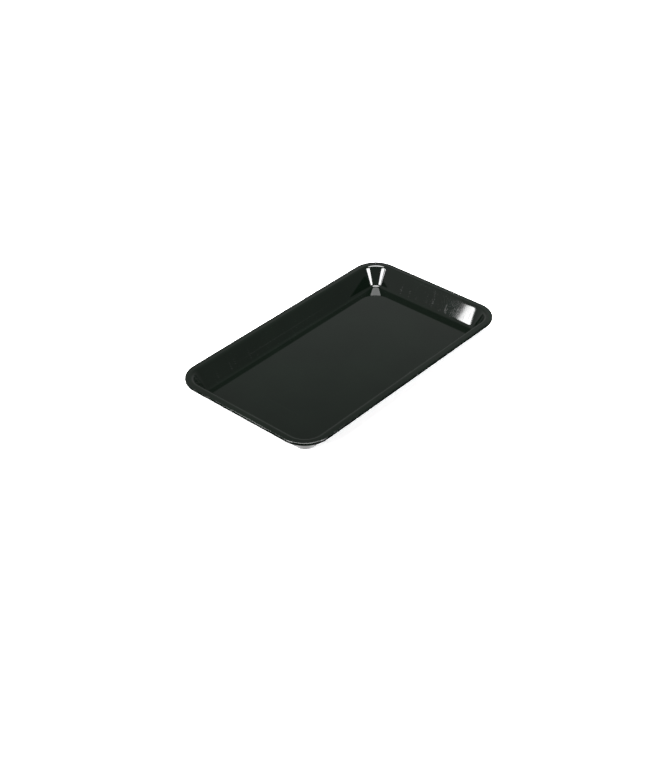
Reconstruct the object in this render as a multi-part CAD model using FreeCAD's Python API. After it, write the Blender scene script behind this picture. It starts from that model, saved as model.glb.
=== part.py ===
# Shallow one-piece tray for rolling out paint: a single glossy plastic moulding with a flat
# floor, walls that lean out evenly, rounded corners and a narrow flat rim with a turned-down lip.
# Every level outline of the moulding is the rim's outline, set in by the same distance all round.
#
# Frame: +X along the long sides, +Y along the short sides, +Z up. The origin is the middle of
# the underside, in the plane that the tray rests on. Lengths are in millimetres.
import FreeCAD, Part
import math
import os

# ---- driving dimensions ----
LENGTH = 300.0              # overall, along X
WIDTH = 173.4               # overall, along Y
DEPTH = 19.5                # from the rim's top down to the floor
SKIN = 2.0                  # thickness of the moulding everywhere

RIM_CORNER = 27.1           # plan radius of the rim's outer edge
RIM_FLAT = 5.5              # width of the flat part of the rim
RIM_ROLL = 3.5              # radius over which the rim turns down into the wall
LIP_DROP = 2.8              # height of the rim's outer edge, lip included
LIP_WIDTH = 1.8             # thickness of the turned-down lip
LIP_BREAK = 0.7             # rounding of the rim's top outer edge

WALL_LEAN = 30.0            # the walls' lean from upright, in degrees
CREASE = 4.0                # radius of the crease between the walls and the floor

FOOT_WIDTH = 8.0            # width of the flat band that the tray rests on
FOOT_CORNER = 4.0           # plan radius of the band's inner corners
FOOT_RELIEF = 0.5           # how far the underside inside the band is raised
GATE_RADIUS = 3.0           # the mark left by the moulding gate, in the raised underside
GATE_DEPTH = 0.3

ROLL_STEPS = 6              # steps round the rim's roll
CREASE_STEPS = 6            # steps round the crease

# ---- worked out from them ----
HEIGHT = DEPTH + SKIN
LEAN = math.radians(WALL_LEAN)
CREASE_DEPTH = DEPTH - CREASE               # depth of the crease's centre
BOTH_RADII = RIM_ROLL + CREASE
WALL_RUN = (CREASE_DEPTH - RIM_ROLL + BOTH_RADII * math.sin(LEAN)) / math.cos(LEAN)
FLOOR_INSET = RIM_FLAT + BOTH_RADII * math.cos(LEAN) + WALL_RUN * math.sin(LEAN)


def inset_at(depth, offset):
    """Distance in from the rim's edge to the moulding's face at a depth below the rim's top: down
    the rim's roll, the straight wall, and the crease into the floor. An offset of 0 gives the
    inner face, and SKIN gives the outer one, parallel to it."""
    roll = RIM_ROLL - offset
    crease = CREASE + offset
    wall_top = RIM_ROLL - roll * math.sin(LEAN)
    wall_bottom = CREASE_DEPTH + crease * math.sin(LEAN)
    if depth <= wall_top:
        return RIM_FLAT + math.sqrt(max(roll ** 2 - (RIM_ROLL - depth) ** 2, 0.0))
    if depth <= wall_bottom:
        return FLOOR_INSET - crease * math.cos(LEAN) - (wall_bottom - depth) * math.tan(LEAN)
    return FLOOR_INSET - math.sqrt(max(crease ** 2 - (depth - CREASE_DEPTH) ** 2, 0.0))


def outline(inset, z):
    """A closed wire, level at z: the rim's outline set in by inset, as four quarter circles
    joined by four lines."""
    radius = RIM_CORNER - inset
    x = LENGTH / 2.0 - RIM_CORNER
    y = WIDTH / 2.0 - RIM_CORNER
    corners = [(x, y, 0.0), (-x, y, 90.0), (-x, -y, 180.0), (x, -y, 270.0)]
    arcs = []
    for centre_x, centre_y, start in corners:
        points = []
        for turn in (0.0, 45.0, 90.0):
            angle = math.radians(start + turn)
            point_x = centre_x + radius * math.cos(angle)
            point_y = centre_y + radius * math.sin(angle)
            points.append(FreeCAD.Vector(point_x, point_y, z))
        arcs.append(points)
    edges = []
    for index, points in enumerate(arcs):
        following = arcs[(index + 1) % len(arcs)]
        edges.append(Part.Arc(*points).toShape())
        edges.append(Part.LineSegment(points[-1], following[0]).toShape())
    return Part.Wire(edges)


def face_depths(offset):
    """Depths of the sections through one face, closer together where the face curves."""
    roll = RIM_ROLL - offset
    crease = CREASE + offset
    turn = math.pi / 2.0 - LEAN
    depths = []
    for step in range(ROLL_STEPS + 1):
        depths.append(RIM_ROLL - roll * math.cos(turn * step / ROLL_STEPS))
    for step in range(CREASE_STEPS + 1):
        depths.append(CREASE_DEPTH + crease * math.sin(LEAN + turn * step / CREASE_STEPS))
    return depths


def bowl(offset):
    """The solid enclosed by the inner face (offset 0) or the outer face (offset SKIN)."""
    sections = []
    for depth in reversed(face_depths(offset)):
        sections.append(outline(inset_at(depth, offset), HEIGHT - depth))
    return Part.makeLoft(sections, True, True)


def plate(inset, bottom, top):
    """A level plate with the rim's outline set in by inset, between two heights."""
    return Part.Face(outline(inset, bottom)).extrude(FreeCAD.Vector(0.0, 0.0, top - bottom))


def rim():
    """The flat rim with its turned-down lip, its top outer edge rounded."""
    slab = plate(0.0, HEIGHT - LIP_DROP, HEIGHT)
    top_edges = []
    for edge in slab.Edges:
        if edge.BoundBox.ZMin > HEIGHT - LIP_BREAK:
            top_edges.append(edge)
    slab = slab.makeFillet(LIP_BREAK, top_edges)
    hollow = plate(LIP_WIDTH, HEIGHT - LIP_DROP - SKIN, HEIGHT - SKIN)
    return slab.cut(hollow)


def foot_recess():
    """The raised middle of the underside, inside the flat band that the tray rests on, with the
    gate's mark at its centre."""
    x = LENGTH / 2.0 - FLOOR_INSET - FOOT_WIDTH
    y = WIDTH / 2.0 - FLOOR_INSET - FOOT_WIDTH
    recess = Part.makeBox(2.0 * x, 2.0 * y, FOOT_RELIEF, FreeCAD.Vector(-x, -y, 0.0))
    upright = []
    for edge in recess.Edges:
        if edge.BoundBox.ZLength > FOOT_RELIEF / 2.0:
            upright.append(edge)
    recess = recess.makeFillet(FOOT_CORNER, upright)
    gate = Part.makeCylinder(GATE_RADIUS, FOOT_RELIEF + GATE_DEPTH)
    return recess.fuse(gate)


def tray():
    """The whole moulding: outer bowl and rim together, less the inside and the underside."""
    blank = bowl(SKIN).fuse(rim())
    return blank.cut(bowl(0.0)).cut(foot_recess()).removeSplitter()


os.makedirs("parts", exist_ok=True)
moulding = tray()
print("tray:", len(moulding.Solids), "solid,", len(moulding.Faces), "faces, valid",
      moulding.isValid(), "volume", round(moulding.Volume), "mm3")
moulding.exportStep("parts/tray.step")
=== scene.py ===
import math

import bmesh
import bpy
import numpy as np
from mathutils import Matrix, Vector


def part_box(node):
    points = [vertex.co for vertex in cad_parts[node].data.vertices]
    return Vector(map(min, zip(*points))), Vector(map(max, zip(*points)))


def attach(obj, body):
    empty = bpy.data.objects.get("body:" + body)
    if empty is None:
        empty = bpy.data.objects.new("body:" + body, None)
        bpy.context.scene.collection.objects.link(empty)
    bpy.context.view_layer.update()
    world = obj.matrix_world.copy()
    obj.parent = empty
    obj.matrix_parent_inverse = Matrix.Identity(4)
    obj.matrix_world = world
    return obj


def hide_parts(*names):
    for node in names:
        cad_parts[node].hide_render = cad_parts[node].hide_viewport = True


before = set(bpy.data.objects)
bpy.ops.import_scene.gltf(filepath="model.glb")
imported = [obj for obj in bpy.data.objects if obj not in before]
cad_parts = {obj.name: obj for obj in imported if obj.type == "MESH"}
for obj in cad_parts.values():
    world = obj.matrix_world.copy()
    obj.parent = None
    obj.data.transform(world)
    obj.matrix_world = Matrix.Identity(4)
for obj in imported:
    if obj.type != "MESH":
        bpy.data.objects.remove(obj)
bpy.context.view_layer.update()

# ---- the tray ----
# One moulding in glossy black plastic: a flat floor, walls that lean out evenly and a narrow flat
# rim that turns down into a lip. It is formed in one shot over a polished tool, so it has no seams;
# the tool leaves it slightly wavy, and use leaves fine scratches and a dulled rim edge.
lowest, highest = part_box("tray")
LENGTH = highest.x - lowest.x
WIDTH = highest.y - lowest.y
HEIGHT = highest.z - lowest.z
SKIN = 0.002                    # thickness of the moulding everywhere
DEPTH = HEIGHT - SKIN           # from the rim's top down to the floor
RIM_CORNER = 0.0271             # plan radius of the rim's outer edge
RIM_FLAT = 0.0055               # width of the flat part of the rim
RIM_ROLL = 0.0035               # radius over which the rim turns down into the wall
LIP_DROP = 0.0028               # height of the rim's outer edge, lip included
LIP_WIDTH = 0.0018              # thickness of the turned-down lip
LIP_BREAK = 0.0007              # rounding of the rim's top outer edge
UNDER_BREAK = 0.0003            # rounding of the lip's lower edges
WALL_LEAN = math.radians(30.0)  # the walls' lean from upright
CREASE = 0.004                  # radius of the crease between the walls and the floor
FOOT_WIDTH = 0.008              # flat band that the tray rests on
FOOT_CORNER = 0.004             # plan radius of the band's inner corners
FOOT_RELIEF = 0.0005            # how far the underside inside the band is raised
GATE_RADIUS = 0.003             # the moulding gate's mark, in the raised underside
GATE_DEPTH = 0.0003
CREASE_DEPTH = DEPTH - CREASE   # depth of the crease's centre
both_radii = RIM_ROLL + CREASE
wall_run = (CREASE_DEPTH - RIM_ROLL + both_radii * math.sin(WALL_LEAN)) / math.cos(WALL_LEAN)
FLOOR_INSET = RIM_FLAT + both_radii * math.cos(WALL_LEAN) + wall_run * math.sin(WALL_LEAN)


def set_in(inset, height):
    """The rim's outline set in by each inset, at each height, as rows of half length, half width,
    corner radius and height. All three of the first shrink by the inset."""
    inset, height = np.broadcast_arrays(np.asarray(inset, float), height)
    return np.stack([LENGTH / 2 - inset, WIDTH / 2 - inset, RIM_CORNER - inset, height], axis=1)


def face_levels(offset, roll_steps, wall_steps, crease_steps):
    """Outlines down one face. The profile is a circle (the rim's roll), a straight wall that
    touches it and a second circle (the crease) that ends level on the floor. An offset moves the
    face outwards, parallel to itself: it takes from the first radius and adds to the second."""
    roll = RIM_ROLL - offset
    crease = CREASE + offset
    roll_turn = np.linspace(0.0, math.pi / 2 - WALL_LEAN, roll_steps)
    crease_turn = np.linspace(WALL_LEAN, math.pi / 2, crease_steps)
    share = np.linspace(0.0, 1.0, wall_steps)[1:-1]
    roll_inset = RIM_FLAT + roll * np.sin(roll_turn)
    roll_depth = RIM_ROLL - roll * np.cos(roll_turn)
    crease_inset = FLOOR_INSET - crease * np.cos(crease_turn)
    crease_depth = CREASE_DEPTH + crease * np.sin(crease_turn)
    wall_inset = roll_inset[-1] + share * (crease_inset[0] - roll_inset[-1])
    wall_depth = roll_depth[-1] + share * (crease_depth[0] - roll_depth[-1])
    inset = np.concatenate([roll_inset, wall_inset, crease_inset])
    depth = np.concatenate([roll_depth, wall_depth, crease_depth])
    return set_in(inset, HEIGHT - depth)


def between(first, last, steps):
    """Outlines that go from one row to another in equal steps, both of them included."""
    share = np.linspace(0.0, 1.0, steps + 1)[:, None]
    return first + share * (last - first)


def outlines(levels, corner_steps, long_steps, short_steps):
    """Points of the rounded rectangle at every level, as an array of levels x points x 3. Every
    outline has the same count of points round each corner and along each side."""
    half_x, half_y, radius, height = (levels[:, [column]] for column in range(4))
    turn = np.radians(np.linspace(0.0, 90.0, corner_steps + 1))[None, :]
    middle_x = half_x - radius
    middle_y = half_y - radius
    runs = []
    for quarter, (sign_x, sign_y) in enumerate([(1, 1), (-1, 1), (-1, -1), (1, -1)]):
        angle = turn + quarter * math.pi / 2
        corner_x = sign_x * middle_x + radius * np.cos(angle)
        corner_y = sign_y * middle_y + radius * np.sin(angle)
        runs.append(np.stack([corner_x, corner_y], axis=2))
        level_side = quarter % 2 == 0
        steps = long_steps if level_side else short_steps
        share = np.linspace(-1.0, 1.0, steps + 1)[None, 1:-1]
        if level_side:
            side_x = -sign_x * middle_x * share
            side_y = np.broadcast_to(sign_y * half_y, side_x.shape)
        else:
            side_y = -sign_y * middle_y * share
            side_x = np.broadcast_to(sign_x * half_x, side_y.shape)
        runs.append(np.stack([side_x, side_y], axis=2))
    flat = np.concatenate(runs, axis=1)
    return np.concatenate([flat, np.broadcast_to(height[:, :, None], flat.shape[:2] + (1,))], axis=2)


def arc(start, stop, steps):
    """Sine and one minus cosine along an arc, for a rounded edge."""
    turn = np.radians(np.linspace(start, stop, steps))
    return np.sin(turn), 1.0 - np.cos(turn)


def tray_levels():
    """Every level outline of the moulding, from the middle of its floor up the inside, over the rim
    and lip, down the outside and back to the middle of its underside, where the gate's mark is."""
    inside = face_levels(0.0, 16, 24, 24)[::-1]
    floor_line = [LENGTH / 2 - WIDTH / 2, 0.0, 0.0, SKIN]
    rim = set_in(np.linspace(RIM_FLAT, LIP_BREAK, 6)[1:-1], HEIGHT)
    out, drop = arc(0.0, 90.0, 8)
    edge = set_in(LIP_BREAK * (1.0 - out), HEIGHT - LIP_BREAK * drop)
    lip_bottom = HEIGHT - LIP_DROP
    lower = set_in(UNDER_BREAK * drop, lip_bottom + UNDER_BREAK * (1.0 - out))
    lip_inset = np.array([LIP_WIDTH - UNDER_BREAK, LIP_WIDTH, LIP_WIDTH])
    lip_height = [lip_bottom, lip_bottom + UNDER_BREAK, HEIGHT - SKIN - UNDER_BREAK]
    lip_inside = set_in(lip_inset, np.array(lip_height))
    underside = set_in([LIP_WIDTH + UNDER_BREAK, RIM_FLAT - 2 * UNDER_BREAK], HEIGHT - SKIN)
    outside = face_levels(SKIN, 10, 14, 20)
    band = outside[-1] - [FOOT_WIDTH, FOOT_WIDTH, RIM_CORNER - FLOOR_INSET - FOOT_CORNER, 0.0]
    smaller = np.array([UNDER_BREAK, UNDER_BREAK, UNDER_BREAK, 0.0])
    step = band - 2 * smaller + [0.0, 0.0, 0.0, FOOT_RELIEF]
    gate_rim = np.array([GATE_RADIUS, GATE_RADIUS, GATE_RADIUS, FOOT_RELIEF])
    gate_floor = gate_rim + [0.0, 0.0, 0.0, GATE_DEPTH]
    gate_centre = gate_floor * [0.0, 0.0, 0.0, 1.0]
    return np.concatenate(
        [
            between(inside[0], np.array(floor_line), 30)[:0:-1],
            inside,
            rim,
            edge,
            lower,
            lip_inside,
            underside,
            outside,
            between(outside[-1], band + smaller, 3)[1:],
            between(band, step, 2),
            between(step - smaller, gate_rim + smaller, 8),
            between(gate_rim, gate_floor, 2),
            between(gate_floor - smaller, gate_centre, 2),
        ]
    )


def surface_mesh(name, points):
    """A mesh over a grid of points that closes on itself along each row. The first and last rows
    lie on a line, where facing points meet and are merged."""
    rows, columns = points.shape[:2]
    index = np.arange(rows * columns).reshape(rows, columns)
    here = index[:-1]
    above = index[1:]
    faces = np.stack([here, above, np.roll(above, -1, 1), np.roll(here, -1, 1)], axis=2)
    mesh = bpy.data.meshes.new(name)
    mesh.from_pydata(points.reshape(-1, 3).tolist(), [], faces.reshape(-1, 4).tolist())
    shell = bmesh.new()
    shell.from_mesh(mesh)
    bmesh.ops.remove_doubles(shell, verts=shell.verts, dist=1e-6)
    bmesh.ops.recalc_face_normals(shell, faces=shell.faces)
    shell.to_mesh(mesh)
    shell.free()
    mesh.shade_smooth()
    piece = bpy.data.objects.new(name, mesh)
    bpy.context.scene.collection.objects.link(piece)
    return piece


CORNER_STEPS = 24               # faces round each corner
LONG_STEPS = 64                 # faces along each long side
SHORT_STEPS = 36                # faces along each short side
moulding_points = outlines(tray_levels(), CORNER_STEPS, LONG_STEPS, SHORT_STEPS)
tray = surface_mesh("tray_moulding", moulding_points)

# Wear is 1 at the rim's outer edge and falls to 0 a short way in. Round a plan corner the
# distance is measured from the corner's arc, and elsewhere from the nearer side.
WEAR_REACH = 2 * LIP_BREAK
wear = tray.data.attributes.new("edge_wear", "FLOAT", "POINT")
for vertex, mark in zip(tray.data.vertices, wear.data):
    across = abs(abs(vertex.co.y) - WIDTH / 2)
    along = abs(abs(vertex.co.x) - LENGTH / 2)
    corner_x = max(abs(vertex.co.x) - LENGTH / 2 + RIM_CORNER, 0.0)
    corner_y = max(abs(vertex.co.y) - WIDTH / 2 + RIM_CORNER, 0.0)
    round_corner = abs(RIM_CORNER - math.hypot(corner_x, corner_y))
    to_edge = round_corner if corner_x and corner_y else min(across, along)
    mark.value = max(0.0, 1.0 - to_edge / WEAR_REACH)

# Its material: polished black with a trace of green. Sheen varies a little from place to place,
# hairline scratches run two ways, the rim's outer edge is rubbed duller, and the surface is
# very slightly wavy, as thin mouldings are.
DARKER_TINT = (0.00090, 0.00215, 0.00120, 1.0)
LIGHTER_TINT = (0.00125, 0.00280, 0.00160, 1.0)
PLASTIC_IOR = 1.5
SCRATCH_DULLING = 0.14          # added to the roughness along a hairline scratch
WEAR_DULLING = 0.20             # added where the rim's edge is rubbed
WAVE_DEPTH = 0.000007           # the moulding's slow waviness
GRAIN_DEPTH = 0.0000002         # its fine grain
plastic = bpy.data.materials.new("gloss_black_plastic")
plastic.use_nodes = True
nodes = plastic.node_tree.nodes
links = plastic.node_tree.links
shader = nodes["Principled BSDF"]
shader.inputs["IOR"].default_value = PLASTIC_IOR
object_place = nodes.new("ShaderNodeTexCoord").outputs["Object"]


def noise(scale, detail, stretch=(1.0, 1.0, 1.0), turn=0.0):
    """Smooth noise over the tray, its places stretched along each axis and turned about Z."""
    mapping = nodes.new("ShaderNodeMapping")
    mapping.inputs["Rotation"].default_value = (0.0, 0.0, math.radians(turn))
    mapping.inputs["Scale"].default_value = stretch
    texture = nodes.new("ShaderNodeTexNoise")
    texture.inputs["Scale"].default_value = scale
    texture.inputs["Detail"].default_value = detail
    links.new(object_place, mapping.inputs["Vector"])
    links.new(mapping.outputs["Vector"], texture.inputs["Vector"])
    return texture.outputs["Fac"]


def ramp(value, start, stop, at_start, at_stop):
    """A straight, clamped change between two strengths as value goes from start to stop."""
    node = nodes.new("ShaderNodeMapRange")
    node.inputs["From Min"].default_value = start
    node.inputs["From Max"].default_value = stop
    node.inputs["To Min"].default_value = at_start
    node.inputs["To Max"].default_value = at_stop
    links.new(value, node.inputs["Value"])
    return node.outputs["Result"]


def join(operation, first, second):
    """One Math node over two values of the plastic."""
    node = nodes.new("ShaderNodeMath")
    node.operation = operation
    links.new(first, node.inputs[0])
    links.new(second, node.inputs[1])
    return node.outputs["Value"]


def lift(height, distance, below=None):
    """A bump of the given depth in metres, laid over another one."""
    bump = nodes.new("ShaderNodeBump")
    bump.inputs["Strength"].default_value = 1.0
    bump.inputs["Distance"].default_value = distance
    links.new(height, bump.inputs["Height"])
    if below is not None:
        links.new(below, bump.inputs["Normal"])
    return bump.outputs["Normal"]


cloud = noise(18.0, 3.0)
tint = nodes.new("ShaderNodeMix")
tint.data_type = "RGBA"
tint.inputs["A"].default_value = DARKER_TINT
tint.inputs["B"].default_value = LIGHTER_TINT
links.new(ramp(cloud, 0.35, 0.65, 0.0, 1.0), tint.inputs["Factor"])
links.new(tint.outputs["Result"], shader.inputs["Base Color"])

hairlines = join(
    "MAXIMUM",
    ramp(noise(60.0, 0.0, (0.12, 30.0, 1.0), 24.0), 0.76, 0.82, 0.0, 1.0),
    ramp(noise(60.0, 0.0, (30.0, 0.15, 1.0), -17.0), 0.76, 0.82, 0.0, 1.0),
)
worn = nodes.new("ShaderNodeAttribute")
worn.attribute_name = "edge_wear"
rubbed = join("MULTIPLY", worn.outputs["Fac"], ramp(noise(220.0, 4.0), 0.40, 0.62, 0.0, 1.0))
sheen = ramp(noise(45.0, 4.0), 0.3, 0.7, 0.035, 0.060)
sheen = join("ADD", sheen, ramp(hairlines, 0.0, 1.0, 0.0, SCRATCH_DULLING))
sheen = join("ADD", sheen, ramp(rubbed, 0.0, 1.0, 0.0, WEAR_DULLING))
links.new(sheen, shader.inputs["Roughness"])

waves = lift(noise(32.0, 1.0), WAVE_DEPTH)
waves = lift(noise(420.0, 2.0), GRAIN_DEPTH, waves)
links.new(waves, shader.inputs["Normal"])

tray.data.materials.append(plastic)
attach(tray, "root")
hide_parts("tray")

# ---- the studio ----
# A sheet of white paper for the floor, an upright softbox each side of the camera, an oval one
# overhead, a narrow strip at the left, and dim grey walls. The paper glows a little so that it
# stays white, and it is hidden from reflections, which would turn the lip's underside pale.
FLOOR_SIZE = 6.0
PAPER_LEVEL = -0.0002           # just under the tray
PAPER_GLOW = 0.5
half = FLOOR_SIZE / 2
paper_corners = [(-half, -half), (half, -half), (half, half), (-half, half)]
floor_mesh = bpy.data.meshes.new("studio_floor")
floor_mesh.from_pydata([(x, y, PAPER_LEVEL) for x, y in paper_corners], [], [(0, 1, 2, 3)])
studio_floor = bpy.data.objects.new("studio_floor", floor_mesh)
bpy.context.scene.collection.objects.link(studio_floor)
paper = bpy.data.materials.new("white_paper")
paper.use_nodes = True
paper_shader = paper.node_tree.nodes["Principled BSDF"]
paper_shader.inputs["Base Color"].default_value = (0.9, 0.9, 0.9, 1.0)
paper_shader.inputs["Roughness"].default_value = 0.9
paper_shader.inputs["Emission Color"].default_value = (1.0, 1.0, 1.0, 1.0)
paper_shader.inputs["Emission Strength"].default_value = PAPER_GLOW
floor_mesh.materials.append(paper)
studio_floor.visible_glossy = False


def direction(azimuth, elevation):
    """Unit vector towards a place in the studio: azimuth 0 is -Y and 90 is +X, in degrees."""
    a = math.radians(azimuth)
    e = math.radians(elevation)
    return np.array([math.sin(a) * math.cos(e), -math.cos(a) * math.cos(e), math.sin(e)])


BOX_DISTANCE = 1.0              # from the inside of the far corner, which every softbox faces
far_corner = Vector((LENGTH / 2 - 0.022, WIDTH / 2 - 0.020, HEIGHT - 0.010))


def softbox(name, shape, azimuth, elevation, width, height, radiance):
    """A softbox that faces the tray's far corner, with its height upright. Its power is its radiance
    times pi times its area."""
    lamp = bpy.data.lights.new(name, "AREA")
    lamp.shape = shape
    lamp.size = width
    lamp.size_y = height
    area = width * height * (math.pi / 4 if shape == "ELLIPSE" else 1.0)
    lamp.energy = radiance * math.pi * area
    box = bpy.data.objects.new(name, lamp)
    bpy.context.scene.collection.objects.link(box)
    towards = Vector(direction(azimuth, elevation))
    box.location = far_corner + towards * BOX_DISTANCE
    box.rotation_mode = "QUATERNION"
    box.rotation_quaternion = (-towards).to_track_quat("-Z", "Y")


softbox("softbox_left", "RECTANGLE", 4.0, 16.0, 0.35, 0.40, 26.0)
softbox("softbox_right", "RECTANGLE", -96.0, 16.0, 0.36, 0.40, 26.0)
softbox("softbox_overhead", "ELLIPSE", -48.0, 83.0, 0.98, 0.62, 20.0)
softbox("strip_left", "RECTANGLE", -113.6, 18.0, 0.045, 0.30, 26.0)

world = bpy.data.worlds.new("studio")
bpy.context.scene.world = world
world.use_nodes = True
tree = world.node_tree
tree.nodes.clear()
sky_place = tree.nodes.new("ShaderNodeTexCoord").outputs["Generated"]


def facing(azimuth, elevation):
    """How nearly each direction points towards a place in the studio, from -1 to 1."""
    product = tree.nodes.new("ShaderNodeVectorMath")
    product.operation = "DOT_PRODUCT"
    product.inputs[1].default_value = direction(azimuth, elevation)
    tree.links.new(sky_place, product.inputs[0])
    return product.outputs["Value"]


def fade(value, start, stop, at_start, at_stop):
    """A smooth step between two strengths as value goes from start to stop."""
    step = tree.nodes.new("ShaderNodeMapRange")
    step.interpolation_type = "SMOOTHSTEP"
    step.inputs["From Min"].default_value = start
    step.inputs["From Max"].default_value = stop
    step.inputs["To Min"].default_value = at_start
    step.inputs["To Max"].default_value = at_stop
    tree.links.new(value, step.inputs["Value"])
    return step.outputs["Result"]


def combine(operation, first, second):
    """One Math node over two strengths."""
    node = tree.nodes.new("ShaderNodeMath")
    node.operation = operation
    tree.links.new(first, node.inputs[0])
    tree.links.new(second, node.inputs[1])
    return node.outputs["Value"]


# The walls: a grey backdrop behind the tray, a paler wall at the left and an even grey at the
# right. Below the horizon it is nearly dark, except for a bright patch straight down that lights
# the outside of the tray under its lip.
upward = facing(0.0, 90.0)
backdrop = fade(upward, 0.50, 0.63, 0.24, 0.0)
backdrop = combine("MULTIPLY", backdrop, fade(facing(131.0, 0.0), 0.0, 0.9, 0.0, 1.0))
left_wall = fade(facing(-145.0, 30.0), 0.45, 0.95, 0.0, 0.27)
dark_side = fade(facing(41.0, 8.0), 0.60, 0.99, 0.27, 0.24)
total = combine("ADD", combine("ADD", backdrop, left_wall), dark_side)
total = combine("MULTIPLY", total, fade(upward, -0.30, 0.0, 0.12, 1.0))
total = combine("ADD", total, fade(upward, -0.90, -0.70, 2.5, 0.0))
background = tree.nodes.new("ShaderNodeBackground")
tree.links.new(total, background.inputs["Strength"])
world_output = tree.nodes.new("ShaderNodeOutputWorld")
tree.links.new(background.outputs["Background"], world_output.inputs["Surface"])

# ---- the camera ----
# It looks down at the tray past its near corner. Its distance and aim are in half lengths of the
# tray, and the angles are in degrees.
CAMERA_AZIMUTH = -48.275
CAMERA_ELEVATION = 35.95
CAMERA_ROLL = -0.495
CAMERA_DISTANCE = 9.3263 * LENGTH / 2
AIM_RIGHT = -0.13738 * LENGTH / 2
AIM_UP = -0.28140 * LENGTH / 2
CAMERA_LENS = 65.53
SENSOR_WIDTH = 36.0
CLIP_START = 0.01
back = direction(CAMERA_AZIMUTH, CAMERA_ELEVATION)
level_right = np.array(
    [math.cos(math.radians(CAMERA_AZIMUTH)), math.sin(math.radians(CAMERA_AZIMUTH)), 0.0]
)
level_up = np.cross(level_right, -back)
roll = math.radians(CAMERA_ROLL)
right = math.cos(roll) * level_right + math.sin(roll) * level_up
up = -math.sin(roll) * level_right + math.cos(roll) * level_up
stand = back * CAMERA_DISTANCE + AIM_RIGHT * right + AIM_UP * up + np.array([0.0, 0.0, HEIGHT])
view = bpy.data.cameras.new("camera")
view.lens = CAMERA_LENS
view.sensor_width = SENSOR_WIDTH
view.clip_start = CLIP_START
camera = bpy.data.objects.new("camera", view)
bpy.context.scene.collection.objects.link(camera)
pose = np.eye(4)
pose[:3, 0] = right
pose[:3, 1] = up
pose[:3, 2] = back
pose[:3, 3] = stand
camera.matrix_world = Matrix(pose.tolist())
bpy.context.scene.camera = camera
bpy.context.scene.view_settings.view_transform = "Standard"
